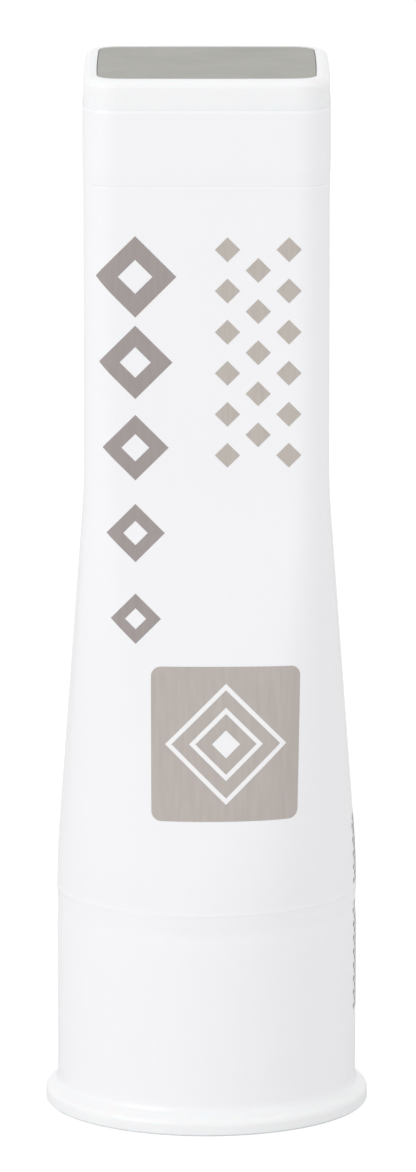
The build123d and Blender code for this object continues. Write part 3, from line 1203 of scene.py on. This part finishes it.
@dataclass
class Studio:
    """The pale floor, the soft light and the camera at the photograph's angle."""

    target_height: float = 48.72 * MM
    distance: float = 910.24 * MM
    pitch: float = math.radians(11.57)
    frame_size: tuple[int, int] = (416, 1172)
    focal_pixels: float = 9826.0
    axis_pixel: float = 206.6
    sensor: float = 36.0
    clip: tuple[float, float] = (10 * MM, 20.0)
    floor_half: float = 3.0
    paper_colour: str = "#E6E6E6"
    seen_paper_colour: str = "#9C9C9C"
    seen_paper_glow: float = 0.75
    world_level: float = 0.828
    seen_world_level: float = 1.0
    lamps: tuple[Lamp, ...] = (
        Lamp("key", (-0.9, -0.72, 0.45), (0.7, 0.7), 3.55),
        Lamp("fill", (0.6, -0.4, 0.6), (0.6, 0.6), 0.8),
        Lamp("back", (-0.15, 0.95, 0.2), (0.6, 0.6), 1.1, mirrored=False),
    )

    def camera(self) -> None:
        """Makes the camera."""
        data = bpy.data.cameras.new("camera")
        data.sensor_width = self.sensor
        data.lens = self.focal_pixels / max(self.frame_size) * self.sensor
        data.shift_x = (self.frame_size[0] / 2 - self.axis_pixel) / max(self.frame_size)
        data.clip_start, data.clip_end = self.clip
        camera = add_object("camera", data)
        camera.location = (0.0, -self.distance * math.cos(self.pitch),
                           self.target_height + self.distance * math.sin(self.pitch))
        camera.rotation_euler = (math.pi / 2 - self.pitch, 0.0, 0.0)
        bpy.context.scene.camera = camera

    def floor(self) -> None:
        """Makes the floor, which the camera sees as white paper with the stick's faint shadow."""
        mesh = bpy.data.meshes.new("floor")
        h = self.floor_half
        mesh.from_pydata([(-h, -h, 0), (h, -h, 0), (h, h, 0), (-h, h, 0)], [], [(0, 1, 2, 3)])
        floor = add_object("floor", mesh)
        material = bpy.data.materials.new("white_paper_sweep")
        tree = emptied_tree(material)
        ray = add_node(tree, "ShaderNodeLightPath").outputs
        paper = output_of(tree, "ShaderNodeBsdfDiffuse", {"Color": linear(self.paper_colour)})
        pale = output_of(tree, "ShaderNodeBsdfDiffuse", {"Color": linear(self.seen_paper_colour)})
        glow = output_of(tree, "ShaderNodeEmission", {"Color": WHITE, "Strength": self.seen_paper_glow})
        seen = output_of(tree, "ShaderNodeAddShader", {0: pale, 1: glow})
        mixed = output_of(tree, "ShaderNodeMixShader", {0: ray["Is Camera Ray"], 1: paper, 2: seen})
        add_node(tree, "ShaderNodeOutputMaterial", {"Surface": mixed})
        mesh.materials.append(material)

    def world(self) -> None:
        """Makes the room: white where it is seen, and a plain pale light elsewhere."""
        world = bpy.data.worlds.new("room")
        bpy.context.scene.world = world
        tree = emptied_tree(world)
        ray = add_node(tree, "ShaderNodeLightPath").outputs
        seen = output_of(tree, "ShaderNodeMath", {0: ray["Is Camera Ray"], 1: ray["Is Glossy Ray"]},
                         operation="MAXIMUM")
        clear = output_of(tree, "ShaderNodeMath", {0: seen, 1: ray["Is Transmission Ray"]},
                          operation="MAXIMUM")
        level = output_of(tree, "ShaderNodeMapRange", {
            "Value": clear, "To Min": self.world_level, "To Max": self.seen_world_level})
        sky = output_of(tree, "ShaderNodeBackground", {"Color": WHITE, "Strength": level})
        add_node(tree, "ShaderNodeOutputWorld", {"Surface": sky})

    def light(self) -> None:
        """Hangs the lamps."""
        for lamp in self.lamps:
            data = bpy.data.lights.new(lamp.name, "AREA")
            data.shape = "RECTANGLE"
            data.size, data.size_y = lamp.size
            data.energy = lamp.power
            holder = add_object(lamp.name, data)
            holder.location = lamp.place
            holder.visible_glossy = lamp.mirrored
            aim = Vector((0, 0, self.target_height)) - Vector(lamp.place)
            holder.rotation_euler = aim.to_track_quat("-Z", "Y").to_euler()

    def build(self) -> None:
        """Sets up the floor, the light, the camera and the plain view transform."""
        bpy.context.scene.view_settings.view_transform = "Standard"
        self.floor()
        self.world()
        self.light()
        self.camera()


def corners(box: tuple[Vector, Vector]) -> list[list[float]]:
    """A box as plain lists of numbers."""
    return [list(box[0]), list(box[1])]


def main() -> None:
    """Builds the stick's looks round the frame, and logs the finish of each moulding."""
    logging.basicConfig(level=logging.INFO, format="%(message)s")
    for old in list(bpy.data.objects):
        bpy.data.objects.remove(old)
    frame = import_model()
    Studio().build()
    finishes = Finishes()
    Mouldings(frame["nodes"], finishes).dress()
    film = Film(StickForm(), SkinTree())
    pieces = FilmSleeves(film, finishes).build()
    pieces += SleeveOverlap(Print(film), finishes).build()
    pieces += PrintedDesign(Print(film), finishes).build()


if __name__ == "__main__":
    main()
